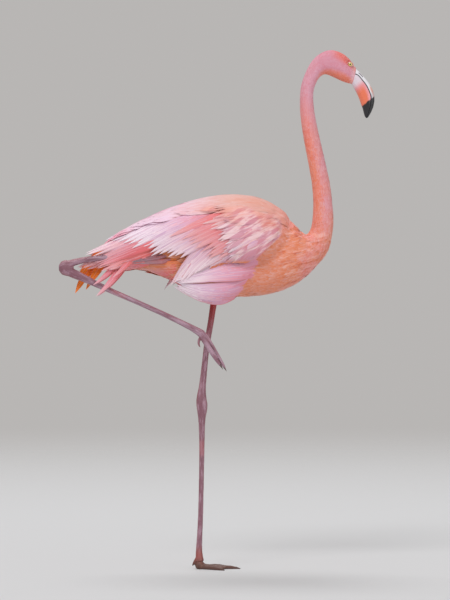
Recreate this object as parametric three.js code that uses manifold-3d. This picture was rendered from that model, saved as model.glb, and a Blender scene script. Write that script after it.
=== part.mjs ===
// A life-size American flamingo. It stands on its left leg, with the right leg folded back and up
// under the feathers, the neck raised in an S and the bill pointing down.
// Millimetres. +X is the way the bird faces, +Y is its left and +Z is up. The floor is z = 0, and the
// origin is on the sole of the standing foot, under its middle toe, at the middle of the bird's length.
import * as THREE from "three";
import { mergeVertices } from "three/addons/utils/BufferGeometryUtils.js";
import Module from "manifold-3d";

const wasm = await Module();
wasm.setup();

// ---------------------------------------------------------------- driving dimensions
const GAP = 0.3; // between two solids that meet
const RING_SIDES = 20; // sides of a section across the trunk
const NECK_SIDES = 14;
const LIMB_SIDES = 8;
const EYE_RADIUS = 6;
const COVERT_STEP = 2.5; // how far the patch of wing coverts stands out of the wing
const EYE = { x: 292, y: 10.8, z: 1109 };
const THIGH_OFFSET = 48; // of each thigh's middle from the bird's midline
const WING_BREAK = -150; // x where a wing's front part meets its long-feathered tip
const FLOOR_CUT = 0.8; // how much of each toe's round underside the flat of the sole takes off
const WEB = { low: 1.4, high: 4.4 }; // heights of the two faces of the standing foot's web

const COLOURS = {
  coral: 0xe8957a,
  pale_pink: 0xeccfd8,
  tail_pink: 0xe99ba6,
  leg: 0xb98f9c,
  foot: 0xa07a70,
  bill: 0xe8b9a0,
  eye: 0xe9d79a,
};

// ---------------------------------------------------------------- solids
/** A section across the body: its upper and lower points, as [x, z], and its half width. fullTop makes it
 * wider above its middle, or below it when negative. */
const rib = (top, bottom, halfWidth, fullTop = 0, y = 0) => ({ top, bottom, halfWidth, fullTop, y });

const inSidePlane = ([x, z], y = 0) => new THREE.Vector3(x, y, z);

/** A smooth curve through points, at t from 0 to 1, with the points evenly spaced in t. */
const through = (points) => new THREE.CatmullRomCurve3(points, false, "catmullrom", 0.5);

/** The shape between ribs: a function of t, from 0 at the first rib to 1 at the last. */
function between(ribs) {
  const top = through(ribs.map((r) => inSidePlane(r.top, r.y)));
  const bottom = through(ribs.map((r) => inSidePlane(r.bottom, r.y)));
  const size = through(ribs.map((r) => new THREE.Vector3(r.halfWidth, r.fullTop, 0)));
  return (t) => {
    const a = top.getPoint(t);
    const b = bottom.getPoint(t);
    const { x: halfWidth, y: fullTop } = size.getPoint(t);
    return {
      centre: a.clone().add(b).multiplyScalar(0.5),
      half: a.clone().sub(b).multiplyScalar(0.5),
      side: new THREE.Vector3(0, halfWidth, 0),
      fullTop,
    };
  };
}

/** The points of one section. A squareness over 2 makes an ellipse boxier. */
function ringOf({ centre, half, side, fullTop = 0 }, sides, grow = 0, squareness = 2) {
  const up = half.clone().setLength(half.length() + grow);
  const out = side.clone().setLength(side.length() + grow);
  const rounded = (v) => Math.sign(v) * Math.abs(v) ** (2 / squareness);
  return Array.from({ length: sides }, (_, i) => {
    const angle = (2 * Math.PI * i) / sides;
    const c = rounded(Math.cos(angle));
    const s = rounded(Math.sin(angle));
    return centre
      .clone()
      .addScaledVector(up, c)
      .addScaledVector(out, s * (1 + fullTop * c));
  });
}

/** A closed solid through rings of points, with a flat fan at each end. */
function skinned(rings) {
  const sides = rings[0].length;
  const positions = rings.flat().flatMap((p) => [p.x, p.y, p.z]);
  const faces = [];
  for (let r = 0; r + 1 < rings.length; r++) {
    for (let i = 0; i < sides; i++) {
      const j = (i + 1) % sides;
      const [a, b, c, d] = [r * sides + i, r * sides + j, (r + 1) * sides + j, (r + 1) * sides + i];
      faces.push(a, b, c, a, c, d);
    }
  }
  for (const [ring, start] of [[rings[0], 0], [rings.at(-1), (rings.length - 1) * sides]]) {
    const hub = positions.length / 3;
    const middle = ring.reduce((sum, p) => sum.add(p), new THREE.Vector3()).divideScalar(sides);
    positions.push(middle.x, middle.y, middle.z);
    for (let i = 0; i < sides; i++) {
      const j = (i + 1) % sides;
      faces.push(...(start ? [start + i, start + j, hub] : [start + j, start + i, hub]));
    }
  }
  const geometry = new THREE.BufferGeometry();
  geometry.setAttribute("position", new THREE.Float32BufferAttribute(positions, 3));
  geometry.setIndex(faces);
  return solidOf(geometry);
}

/** A three.js geometry as a manifold-3d solid whose faces point out. */
function solidOf(source) {
  const geometry = source.clone();
  geometry.deleteAttribute("normal");
  geometry.deleteAttribute("uv");
  const merged = mergeVertices(geometry, 1e-4);
  const vertProperties = merged.attributes.position.array;
  const triVerts = new Uint32Array(merged.index.array);
  const made = new wasm.Manifold(new wasm.Mesh({ numProp: 3, vertProperties, triVerts }));
  if (made.volume() > 0) return made;
  return new wasm.Manifold(new wasm.Mesh({ numProp: 3, vertProperties, triVerts: triVerts.reverse() }));
}

/** Moves a section's centre along its own normal, away from the section next to it. */
function movedEnd(section, neighbour, distance) {
  const normal = section.half.clone().cross(section.side).normalize();
  if (normal.dot(section.centre.clone().sub(neighbour.centre)) < 0) normal.negate();
  return { ...section, centre: section.centre.clone().addScaledVector(normal, distance) };
}

/** A solid from one place to another along a shape, with its ends cut back where it meets the next. */
function lofted(shape, options) {
  const { from = 0, to = 1, steps, sides, grow = 0, squareness, cutStart = 0, cutEnd = 0 } = options;
  const sections = Array.from({ length: steps + 1 }, (_, i) => shape(from + ((to - from) * i) / steps));
  const last = sections.length - 1;
  const first = movedEnd(sections[0], sections[1], grow - cutStart);
  sections[last] = movedEnd(sections[last], sections[last - 1], grow - cutEnd);
  sections[0] = first;
  return skinned(sections.map((s) => ringOf(s, sides, grow, squareness)));
}

/** The shape of a limb along points [x, y, z, radius], a little deeper than wide. */
function alongPoints(points, depth = 1) {
  const path = through(points.map(([x, y, z]) => new THREE.Vector3(x, y, z)));
  const radius = through(points.map((p) => new THREE.Vector3(p[3], 0, 0)));
  const left = new THREE.Vector3(0, 1, 0);
  return (t) => {
    const tangent = path.getTangent(t);
    const half = left.clone().cross(tangent).normalize();
    const side = tangent.clone().cross(half).normalize();
    const r = radius.getPoint(t).x;
    return { centre: path.getPoint(t), half: half.multiplyScalar(r * depth), side: side.multiplyScalar(r) };
  };
}

/** A flat feather blade from root to tip, [x, y, z], bowed in the side plane, widest near its middle. */
function blade({ root, tip, width, bow = 0, thickness = 3.2, grow = 0 }) {
  const a = new THREE.Vector3(...root);
  const b = new THREE.Vector3(...tip);
  const along = b.clone().sub(a);
  const across = new THREE.Vector3(-along.z, 0, along.x).normalize();
  const middle = a.clone().add(b).multiplyScalar(0.5).addScaledVector(across, bow * along.length());
  const path = new THREE.QuadraticBezierCurve3(a, middle, b);
  const steps = 4;
  const sections = Array.from({ length: steps + 1 }, (_, i) => {
    const t = i / steps;
    const tangent = path.getTangent(t);
    const half = new THREE.Vector3(-tangent.z, 0, tangent.x).normalize();
    const spread = Math.max(0.06, Math.sin(Math.PI * (0.22 + 0.78 * t)) ** 0.8);
    const thick = THREE.MathUtils.lerp(thickness, 0.9, t) / 2;
    return {
      centre: path.getPoint(t),
      half: half.multiplyScalar((width / 2) * spread),
      side: new THREE.Vector3(0, thick, 0),
    };
  });
  return skinned(sections.map((s) => ringOf(s, 6, grow)));
}

/** A prism across the bird, of an outline in the side plane, between two values of y. */
function acrossBird(outline, yLow, yHigh, smooth = true) {
  const [start, ...rest] = outline.map(([x, z]) => new THREE.Vector2(x, z));
  const shape = new THREE.Shape().moveTo(start.x, start.y);
  if (smooth) shape.splineThru(rest);
  else rest.forEach((p) => shape.lineTo(p.x, p.y));
  const geometry = new THREE.ExtrudeGeometry(shape, {
    depth: yHigh - yLow,
    bevelEnabled: false,
    curveSegments: 2,
  });
  geometry.rotateX(Math.PI / 2).translate(0, yHigh, 0); // the outline's second axis becomes Z
  return solidOf(geometry);
}

/** A prism standing upright above z, the same on both sides of the bird, from points [x, half width]. */
function uprightPrism(halfOutline, z, grow = 0) {
  const left = halfOutline.map(([x, y]) => new THREE.Vector2(x, y + grow));
  const right = halfOutline.map(([x, y]) => new THREE.Vector2(x, -y - grow)).reverse();
  const geometry = new THREE.ExtrudeGeometry(new THREE.Shape([...left, ...right]), {
    depth: 200,
    bevelEnabled: false,
  });
  return solidOf(geometry.translate(0, 0, z));
}

const mirrored = (solid) => solid.mirror([0, 1, 0]);
const joined = (solids) => solids.reduce((all, s) => all.add(s));
const without = (solid, ...others) => others.reduce((left, s) => left.subtract(s), solid);

/** The largest piece of a solid that a cut may have left with loose slivers. */
const mainPiece = (solid) => solid.decompose().reduce((a, b) => (b.volume() > a.volume() ? b : a));

// ---------------------------------------------------------------- trunk, neck and head
// One run of ribs from the rump to the bill's base. Round the neck's foot and the nape they fan out.
const bodyRibs = [
  rib([-148, 746], [-148, 653], 38, -0.1), // the trunk is slim where the folded wings lie on it
  rib([-104, 764], [-104, 634], 47, -0.2),
  rib([-60, 779], [-60, 618], 55, -0.25),
  rib([6, 794], [-1, 598], 62, -0.25),
  rib([61, 795], [57, 594], 64, -0.25),
  rib([112, 786], [112, 600], 64, -0.15),
  rib([147, 776], [153, 613], 61, -0.03),
  rib([165, 765], [189, 634], 52),
  rib([178, 746], [215, 660], 43),
  rib([188, 736], [239, 686], 35), // the neck starts here
  rib([198, 740], [252, 717], 29.5),
  rib([206, 759], [258, 759], 25.5),
  rib([209, 801], [256, 801], 22.5),
  rib([206, 847], [250, 849], 21), // middle of the neck starts here
  rib([197, 900], [238, 904], 20),
  rib([187, 953], [225, 959], 18.8),
  rib([180, 1010], [215, 1010], 17.6), // upper neck starts here
  rib([182, 1058], [213, 1049], 17.2),
  rib([192, 1091], [222, 1075], 17.6),
  rib([208, 1120], [235, 1087], 19), // the head starts here
  rib([228, 1137], [247, 1085], 20.6),
  rib([250, 1144], [261, 1078], 21.6),
  rib([274, 1137], [278, 1070], 20.6),
  rib([293, 1121], [289, 1067], 17.4),
  rib([303, 1104], [296, 1066], 12.6),
];
const LAST_RIB = bodyRibs.length - 1;
const NECK_FOOT = 9;
const body = between(bodyRibs);

function bodyLength(fromRib, toRib, { stepsPerRib = 2, sides = NECK_SIDES, ...options }) {
  const steps = Math.round((toRib - fromRib) * stepsPerRib);
  return lofted(body, { from: fromRib / LAST_RIB, to: toRib / LAST_RIB, steps, sides, ...options });
}

const HALF_GAP = GAP / 2;
const trunkSize = { stepsPerRib: 1.2, sides: RING_SIDES };
const trunk = bodyLength(0, NECK_FOOT, { ...trunkSize, cutStart: HALF_GAP, cutEnd: HALF_GAP });
const trunkAndGap = bodyLength(0, NECK_FOOT, { ...trunkSize, grow: GAP });
const neckCuts = { cutStart: HALF_GAP, cutEnd: HALF_GAP };
const neckLower = bodyLength(NECK_FOOT, 13, neckCuts);
const neckMiddle = bodyLength(13, 16, neckCuts);
const neckUpper = bodyLength(16, 19, neckCuts);
const headWhole = bodyLength(19, LAST_RIB, { ...neckCuts, stepsPerRib: 1.8 });

function eyeball(side, grow = 0) {
  const ball = new THREE.SphereGeometry(EYE_RADIUS + grow, 10, 7);
  return solidOf(ball.translate(EYE.x, side * EYE.y, EYE.z));
}
const head = without(headWhole, eyeball(1, GAP), eyeball(-1, GAP));

// ---------------------------------------------------------------- bill
// The deep lower half is one loft, and the narrow upper half lies on it like a lid, parted along the gape.
const billRibs = [
  rib([303.4, 1103], [296.4, 1066], 11),
  rib([312, 1094], [302, 1056], 12.6),
  rib([323, 1082], [308, 1045], 13.4),
  rib([334, 1069], [313, 1033], 13.4),
  rib([342, 1054], [317, 1021], 12.6),
  rib([346, 1040], [321, 1010], 11),
  rib([345, 1023], [323, 1000], 8.8),
  rib([340, 1008], [326, 993.6], 6.2),
  rib([332, 994], [328.4, 991.4], 2.6),
];
const LID_SHARE = 0.8; // the upper half's width against the lower's
const lidRibs = billRibs.map((r) => ({ ...r, halfWidth: r.halfWidth * LID_SHARE }));
const gape = [
  [290, 1088.5], [301, 1088], [309, 1086], [318, 1076], [328, 1063], [335, 1048], [338, 1038], [337, 1022],
  [333.4, 1008], [329.4, 996], [326, 986],
];
const beyondBill = [[380, 986], [380, 1130], [290, 1130]];
function aboveGape(gap) {
  const edge = gape.map(([x, z]) => [x - gap, z - gap / 2]);
  return acrossBird([...edge, ...beyondBill], -30, 30, false);
}
const billSize = { steps: 10, sides: 12, squareness: 2.3 };
const billUpper = lofted(between(lidRibs), billSize).intersect(aboveGape(0));
const billLower = lofted(between(billRibs), billSize).subtract(aboveGape(GAP));

// ---------------------------------------------------------------- tail
const tailRibs = [
  rib([-148, 746], [-148, 653], 38, -0.1),
  rib([-205, 712], [-205, 661], 29),
  rib([-250, 687], [-250, 655], 21),
  rib([-286, 670], [-292, 646], 12),
];
const tailFeathers = [
  { root: [-262, 4, 690], tip: [-313, 3, 607], width: 26, bow: -0.1 },
  { root: [-256, -4, 684], tip: [-289, -3, 612], width: 22, bow: -0.08 },
];
function tailSolid(grow = 0) {
  const stub = lofted(between(tailRibs), { steps: 5, sides: 14, grow, cutStart: HALF_GAP });
  return joined([stub, ...tailFeathers.map((f) => blade({ ...f, grow }))]);
}

// ---------------------------------------------------------------- wings
// Both wings are cut from one envelope a little wider than the trunk, then given their long feathers.
const wingRibs = [
  rib([-262, 711], [-260, 676], 32),
  rib([-214, 734], [-214, 663], 50),
  rib([-159, 762], [-159, 659], 66),
  rib([-93, 792], [-100, 629], 82, 0.06),
  rib([-27, 813], [-38, 601], 91, 0.08),
  rib([39, 822], [39, 592], 94, 0.08),
  rib([98, 813], [98, 597], 88, 0.08),
  rib([139, 793], [147, 611], 73, 0.05),
  rib([166, 770], [182, 629], 57),
];
const wingOutline = [
  [155, 860], [150, 757], [143, 724], [120, 701], [83, 687], [32, 683], [-20, 668], [-69, 642], [-96, 630],
  [-116, 640], [-140, 652], [-180, 660], [-225, 661], [-262, 660], [-330, 640], [-330, 860],
];
// The patch of small feathers that covers the wing's front, a little proud of the long ones behind it.
const covertOutline = [
  [132, 752], [126, 724], [96, 706], [58, 712], [30, 700], [-8, 712], [-34, 704], [-66, 722], [-96, 716],
  [-118, 738], [-60, 766], [10, 790], [80, 790], [120, 776],
];
const wingFeathers = [
  { root: [-190, 34, 725], tip: [-284, 14, 700], width: 26, bow: -0.05 },
  { root: [-205, 36, 712], tip: [-296, 20, 660], width: 30, bow: -0.06 },
  { root: [-212, 42, 700], tip: [-265, 42, 601], width: 27, bow: -0.12 },
  { root: [-190, 48, 694], tip: [-229, 46, 642], width: 20, bow: -0.1 },
  { root: [10, 86, 722], tip: [-108, 74, 614], width: 34, bow: 0.1 },
];
// The mantle is the strip of feathers along the back, between the wings.
const mantleHalfOutline = [[180, 26], [110, 38], [40, 42], [-60, 40], [-130, 33], [-200, 20], [-248, 9]];
const MANTLE_FOOT = 690; // a height below all of the mantle
const wingEnvelope = (grow) => lofted(between(wingRibs), { steps: 10, sides: RING_SIDES, grow });
function wingSolid(grow = 0) {
  const side = acrossBird(wingOutline, HALF_GAP - grow, 200);
  const coverts = wingEnvelope(COVERT_STEP + grow).intersect(acrossBird(covertOutline, 0, 200));
  const feathers = wingFeathers.map((f) => blade({ ...f, grow }));
  return joined([wingEnvelope(grow).intersect(side), coverts, ...feathers]);
}
const mantleStrip = (grow) => uprightPrism(mantleHalfOutline, MANTLE_FOOT, grow);

// ---------------------------------------------------------------- thighs
const thighRibs = (y) => [
  rib([-100, 633], [-97, 622], 6, 0, y),
  rib([-70, 656], [-72, 600], 24, 0, y),
  rib([-30, 672], [-30, 582], 33, 0, y),
  rib([15, 684], [12, 584], 36, 0, y),
  rib([54, 690], [48, 603], 31, 0, y),
  rib([84, 688], [72, 634], 17, 0, y),
];
const thighShape = (y, grow = 0) => lofted(between(thighRibs(y)), { steps: 8, sides: 12, grow });

// ---------------------------------------------------------------- legs
// Points [x, y, z, radius] down each leg. The standing leg leans in, so its foot is under the midline.
const standingLeg = [
  [-3, 40, 616, 9],
  [-9, 38, 579, 6.8],
  [-15, 35, 539, 6.3],
  [-23, 32, 493, 6.1],
  [-28, 29, 447, 6.2],
  [-33, 26, 400, 7.4], // the hock starts here
  [-35, 24.4, 374, 10.6],
  [-33.5, 23.2, 356, 11.6],
  [-34, 21.6, 334, 8.2], // the shank starts here
  [-34, 20, 310, 6.4],
  [-34, 17, 262, 5.4],
  [-35, 12.5, 196, 5.1],
  [-37, 6.5, 108, 5.2],
  [-39.5, 3, 58, 5.9],
  [-40, 1.2, 34, 7],
  [-38.5, 0, 17, 9],
];
const standing = alongPoints(standingLeg, 1.06);
const STANDING_LAST = standingLeg.length - 1;
const standingPart = (fromPoint, toPoint) =>
  lofted(standing, {
    from: fromPoint / STANDING_LAST,
    to: toPoint / STANDING_LAST,
    steps: Math.ceil((toPoint - fromPoint) * 1.5),
    sides: LIMB_SIDES,
    cutStart: HALF_GAP,
    cutEnd: HALF_GAP,
  });

const standingShankGap = lofted(standing, {
  from: 8 / STANDING_LAST,
  steps: Math.ceil((STANDING_LAST - 8) * 1.5),
  sides: LIMB_SIDES,
  grow: GAP,
});

const raisedTibia = [
  [-60, -56, 664, 12],
  [-110, -52, 678, 9],
  [-160, -45, 686, 7.4],
  [-214, -37, 687, 6.6],
  [-265, -30, 683, 6],
  [-291, -27, 679.5, 6.2],
  [-313, -25, 674.5, 7],
  [-330, -24, 669, 8],
];
const raisedShank = [
  [-334, -24, 658, 9],
  [-318, -24, 651, 9.6],
  [-293, -24, 640, 8],
  [-265, -24.4, 626.5, 6.4],
  [-225, -25, 608.5, 5.4],
  [-148, -26, 575, 5],
  [-82, -27, 544, 5.7],
  [-49, -27.4, 527, 6.8],
  [-33, -27.4, 517, 8.6],
];
function limb(points, grow = 0, cutEnd = 0) {
  const steps = Math.ceil((points.length - 1) * 1.5);
  return lofted(alongPoints(points, 1.06), { steps, sides: LIMB_SIDES, grow, cutEnd });
}

function raisedHock(grow = 0) {
  const knob = new THREE.SphereGeometry(1, 10, 7);
  knob.scale(17 + grow, 12 + grow, 18 + grow).rotateY(-0.35).translate(-331, -24, 662);
  return solidOf(knob);
}

// ---------------------------------------------------------------- feet
const HEEL = [-37, 0]; // of the standing foot, where its toes meet
const toes = [
  { length: 88, angle: 0 },
  { length: 72, angle: 38 },
  { length: 66, angle: -36 },
];

// A toe's radius along it, as [share of its length, radius].
const TOE_PROFILE = [
  [-0.04, 7.6], [0.12, 6.2], [0.3, 5], [0.42, 5.2], [0.56, 4.4], [0.68, 4.6], [0.82, 3.6], [0.9, 2.6], [1, 1.1],
];

/** A toe on the floor, from the heel to the claw's tip, with its underside cut flat later. */
function toe({ length, angle }) {
  const turn = THREE.MathUtils.degToRad(angle);
  const points = TOE_PROFILE.map(([share, radius]) => {
    const reach = share * length;
    const x = HEEL[0] + reach * Math.cos(turn);
    const y = HEEL[1] + reach * Math.sin(turn);
    return [x, y, radius - FLOOR_CUT, radius];
  });
  return lofted(alongPoints(points, 1), { steps: 7, sides: 6 });
}

/** The web between the toes, scalloped at its front edge. */
function web() {
  const at = (angle, reach) => {
    const turn = THREE.MathUtils.degToRad(angle);
    return new THREE.Vector2(HEEL[0] + reach * Math.cos(turn), HEEL[1] + reach * Math.sin(turn));
  };
  const corners = [at(-36, 0.8 * 66), at(0, 0.74 * 88), at(38, 0.8 * 72)];
  const hollows = [at(-19, 44), at(20, 46)];
  const shape = new THREE.Shape().moveTo(...HEEL).lineTo(corners[0].x, corners[0].y);
  shape.quadraticCurveTo(hollows[0].x, hollows[0].y, corners[1].x, corners[1].y);
  shape.quadraticCurveTo(hollows[1].x, hollows[1].y, corners[2].x, corners[2].y);
  shape.closePath();
  const plate = new THREE.ExtrudeGeometry(shape, {
    depth: WEB.high - WEB.low,
    bevelEnabled: false,
    curveSegments: 6,
  });
  return solidOf(plate.translate(0, 0, WEB.low));
}

const footPad = solidOf(new THREE.SphereGeometry(1, 10, 6).scale(11, 9.5, 10).translate(-38, 0, 8));
// Everything above the shank's lower end, as a block wide enough to cut the foot back to it.
const ankle = standing(1);
const ankleBlock = (t) => ({
  centre: ankle.centre.clone().add(new THREE.Vector3(0, 0, 40 * t - HALF_GAP)),
  half: ankle.half.clone().multiplyScalar(2),
  side: ankle.side.clone().multiplyScalar(2),
});
const aboveAnkle = lofted(ankleBlock, { steps: 1, sides: 16 });
const spreadFoot = joined([footPad, web(), ...toes.map(toe)]);
const footLeft = without(spreadFoot, aboveAnkle).trimByPlane([0, 0, 1], 0);

const raisedToes = [
  [[-33, -27, 517, 8.4], [-20, -27, 500, 7.6], [-2, -27, 472, 5.6], [11, -27, 452, 3.8], [18, -27, 441, 1.4]],
  [[-33, -30, 513, 6.6], [-24, -33, 496, 5.4], [-9, -34.5, 472, 4.6], [3, -34.5, 454, 3.2], [10, -34.5, 445, 1.2]],
  [[-33, -24, 514, 6.6], [-21, -20, 496, 5.4], [-5, -19, 472, 4.6], [7, -19, 455, 3.2], [14, -19, 446, 1.2]],
];
const raisedWeb = [[-27, -27, 508, 7], [-14, -27, 489, 8.4], [2, -27, 464, 7.6]];
const foldedWeb = lofted(alongPoints(raisedWeb, 0.32), { steps: 4, sides: LIMB_SIDES });
const closedToes = raisedToes.map((points) => lofted(alongPoints(points, 1.06), { steps: 5, sides: 7 }));
const footRight = without(joined([...closedToes, foldedWeb]), limb(raisedShank.slice(-3), GAP));

const hindToe = (points) => lofted(alongPoints(points, 1), { steps: 4, sides: 8 });
const hindToeLeft = hindToe([[-42, 0, 26, 4.4], [-49, 0, 17, 3.2], [-53, 0, 10, 2], [-54.4, 0, 6.6, 0.9]]);
const hindToeRight = hindToe([[-36, -27, 510, 3.6], [-41, -27, 501, 3], [-40, -27, 493, 2], [-37, -27, 488, 0.9]]);

// ---------------------------------------------------------------- fitting the pieces together
const tibiaRightGap = limb(raisedTibia, GAP);
const wingWhole = without(wingSolid(), mantleStrip(GAP));
const wingParts = (whole, ...cutters) => {
  const wing = without(whole, trunkAndGap, tailSolid(GAP), ...cutters);
  const front = wing.trimByPlane([1, 0, 0], WING_BREAK + HALF_GAP);
  const tip = wing.trimByPlane([-1, 0, 0], HALF_GAP - WING_BREAK);
  return [mainPiece(front), mainPiece(tip)];
};
const [wingLeft, wingTipLeft] = wingParts(wingWhole);
const [wingRight, wingTipRight] = wingParts(mirrored(wingWhole), tibiaRightGap);
const mantleWhole = wingEnvelope(0).intersect(mantleStrip(0)).intersect(acrossBird(wingOutline, -60, 60));
const mantle = mainPiece(without(mantleWhole, trunkAndGap, tailSolid(GAP)));
const wingGap = wingSolid(GAP);
const tibiaLeft = without(standingPart(0, 5), thighShape(THIGH_OFFSET, GAP), trunkAndGap);
const tibiaRight = without(limb(raisedTibia), thighShape(-THIGH_OFFSET, GAP), trunkAndGap, raisedHock(GAP));
const thighLeft = mainPiece(without(thighShape(THIGH_OFFSET), trunkAndGap, wingGap));
const thighRight = mainPiece(without(thighShape(-THIGH_OFFSET), trunkAndGap, mirrored(wingGap)));

const nodes = [
  ["trunk", trunk, "coral"],
  ["neck_lower", neckLower, "coral"],
  ["neck_middle", neckMiddle, "coral"],
  ["neck_upper", neckUpper, "coral"],
  ["head", head, "coral"],
  ["bill_upper", billUpper, "bill"],
  ["bill_lower", billLower, "bill"],
  ["eye_left", eyeball(1), "eye"],
  ["eye_right", eyeball(-1), "eye"],
  ["mantle", mantle, "pale_pink"],
  ["wing_left", wingLeft, "pale_pink"],
  ["wing_right", wingRight, "pale_pink"],
  ["wing_tip_left", wingTipLeft, "pale_pink"],
  ["wing_tip_right", wingTipRight, "pale_pink"],
  ["tail", without(tailSolid(), tibiaRightGap), "tail_pink"],
  ["thigh_left", thighLeft, "pale_pink"],
  ["thigh_right", thighRight, "pale_pink"],
  ["tibia_left", mainPiece(tibiaLeft), "leg"],
  ["hock_left", standingPart(5, 8), "leg"],
  ["shank_left", standingPart(8, STANDING_LAST), "leg"],
  ["foot_left", footLeft, "foot"],
  ["hind_toe_left", mainPiece(without(hindToeLeft, standingShankGap, footLeft)), "foot"],
  ["tibia_right", mainPiece(tibiaRight), "leg"],
  ["hock_right", raisedHock(), "leg"],
  ["shank_right", mainPiece(without(limb(raisedShank), raisedHock(GAP))), "leg"],
  ["foot_right", mainPiece(footRight), "foot"],
  ["hind_toe_right", mainPiece(without(hindToeRight, limb(raisedShank, GAP), footRight)), "foot"],
];

/** A finished solid as a named mesh. */
function meshOf([name, solid, colour]) {
  const { vertProperties, triVerts, numProp } = solid.getMesh();
  const geometry = new THREE.BufferGeometry();
  geometry.setAttribute("position", new THREE.BufferAttribute(vertProperties, numProp));
  geometry.setIndex(new THREE.BufferAttribute(triVerts, 1));
  geometry.computeVertexNormals();
  const material = new THREE.MeshStandardMaterial({ color: COLOURS[colour], roughness: 0.7, metalness: 0 });
  const mesh = new THREE.Mesh(geometry, material);
  mesh.name = name;
  return mesh;
}

const flamingo = new THREE.Group();
flamingo.add(...nodes.map(meshOf));
export default flamingo;
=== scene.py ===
"""The looks of a life-size American flamingo: one skin, a coat of small feathers over it, the long
feathers of wings, flanks and tail, scaled legs, horn bill and claws, and wet eyes."""

import itertools
import math

import bmesh
import bpy
import numpy as np
from mathutils import Matrix, Vector
from mathutils.bvhtree import BVHTree
from mathutils.kdtree import KDTree


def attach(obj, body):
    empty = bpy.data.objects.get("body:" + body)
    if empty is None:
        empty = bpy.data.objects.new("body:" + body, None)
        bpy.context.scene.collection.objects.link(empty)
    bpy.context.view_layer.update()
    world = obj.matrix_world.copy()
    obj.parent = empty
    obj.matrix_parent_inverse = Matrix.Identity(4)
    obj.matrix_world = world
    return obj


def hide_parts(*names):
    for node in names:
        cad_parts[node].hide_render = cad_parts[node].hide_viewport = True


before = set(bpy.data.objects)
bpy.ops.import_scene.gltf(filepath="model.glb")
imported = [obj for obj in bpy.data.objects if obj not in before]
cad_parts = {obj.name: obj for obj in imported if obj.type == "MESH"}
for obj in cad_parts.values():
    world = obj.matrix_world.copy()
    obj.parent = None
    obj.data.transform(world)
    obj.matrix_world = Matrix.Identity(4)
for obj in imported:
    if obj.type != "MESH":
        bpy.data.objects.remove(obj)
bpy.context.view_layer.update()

MM = 0.001
rng = np.random.default_rng(11)

# ---------------------------------------------------------------- places on the bird, in mm
# Stations along the spine, from the rump to the bill's base: x, z and how far the section's top
# leans back from facing forward, in degrees (90 is upright), then the coat's depth over the skin.
SPINE = [
    (-246, 690, 90, 5),
    (-200, 699, 90, 8),
    (-148, 705, 90, 10),
    (-50, 708, 90, 11),
    (50, 705, 90, 11),
    (112, 700, 90, 10),
    (150, 697, 92, 9),
    (177, 700, 100, 8),
    (197, 703, 113, 7),
    (213, 711, 136, 6),
    (225, 729, 157, 5.5),
    (232, 759, 176, 5),
    (232, 801, 181, 5),
    (228, 848, 183, 4.6),
    (217, 902, 186, 4.2),
    (206, 956, 187, 4),
    (198, 1010, 180, 3.6),
    (197, 1053, 165, 3.2),
    (207, 1083, 150, 2.8),
    (221, 1103, 129, 2.4),
    (237, 1111, 110, 2),
    (255, 1111, 99, 1.8),
    (276, 1104, 93, 1.6),
    (291, 1094, 86, 1.4),
    (300, 1085, 80, 1.2),
]
RINGS = 300  # of points along the spine
AROUND = 96  # points to a ring
LEAST_SKIN = 0.4  # the least that the coat leaves of the flesh's reach
RUMP_RINGS = 10  # over which the skin closes behind
MERGED = 1e-6  # points nearer than this are one
MAP_MARGIN = 0.01  # left round the unwrap in the bake map
EYE = Vector((292, 10.8, 1109))
EYE_RADIUS = 6
FLESH = [
    "trunk", "neck_lower", "neck_middle", "neck_upper", "head", "mantle", "tail",
    "wing_left", "wing_right", "wing_tip_left", "wing_tip_right", "thigh_left", "thigh_right",
]
# The line where the bill's halves part, in the side view: x and z.
GAPE = [
    (300, 1088.5), (309, 1086), (318, 1076), (328, 1063), (335, 1048), (338, 1038), (337, 1022),
    (333, 1008), (328, 992),
]


# ---------------------------------------------------------------- shader expressions
def rgb(red, green, blue):
    """A linear colour from the eight-bit one that a screen shows."""
    levels = (red, green, blue)
    return tuple(((c / 255 + 0.055) / 1.055) ** 2.4 if c > 10 else c / 3295 for c in levels) + (1,)


class Signal:
    """An output of a shader node. Python's operators on it add the nodes that work them out."""

    def __init__(self, look, socket):
        self.look = look
        self.socket = socket

    def math(self, operation, *others):
        inputs = dict(enumerate([self, *others]))
        return self.look.node("ShaderNodeMath", {"operation": operation}, inputs)

    def __add__(self, other):
        return self.math("ADD", other)

    def __sub__(self, other):
        return self.math("SUBTRACT", other)

    def __mul__(self, other):
        return self.math("MULTIPLY", other)

    def __rsub__(self, other):
        return self.look.node("ShaderNodeMath", {"operation": "SUBTRACT"}, {0: other, 1: self})

    __radd__ = __add__
    __rmul__ = __mul__

    def sine(self):
        return self.math("SINE")

    def size(self):
        return self.math("ABSOLUTE")

    def held(self):
        """The value kept between 0 and 1."""
        return self.look.node("ShaderNodeClamp", {}, {0: self})

    def step(self, low, high):
        """0 below low, 1 above high and smooth between. With low above high it falls instead."""
        if low > high:
            return 1 - self.step(high, low)
        inputs = {"Value": self, "From Min": low, "From Max": high}
        return self.look.node("ShaderNodeMapRange", {"interpolation_type": "SMOOTHSTEP"}, inputs)

    def band(self, low, high, soft):
        """1 between low and high, fading to 0 over the soft distance outside them."""
        return self.step(low - soft, low) * self.step(high + soft, high)

    def parts(self):
        split = self.look.add("ShaderNodeSeparateXYZ", {}, {0: self})
        return [Signal(self.look, socket) for socket in split.outputs]

    def stretched(self, x, y, z):
        """A vector scaled along each axis."""
        settings = {"operation": "MULTIPLY"}
        return self.look.node("ShaderNodeVectorMath", settings, {0: self, 1: (x, y, z)})


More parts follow.
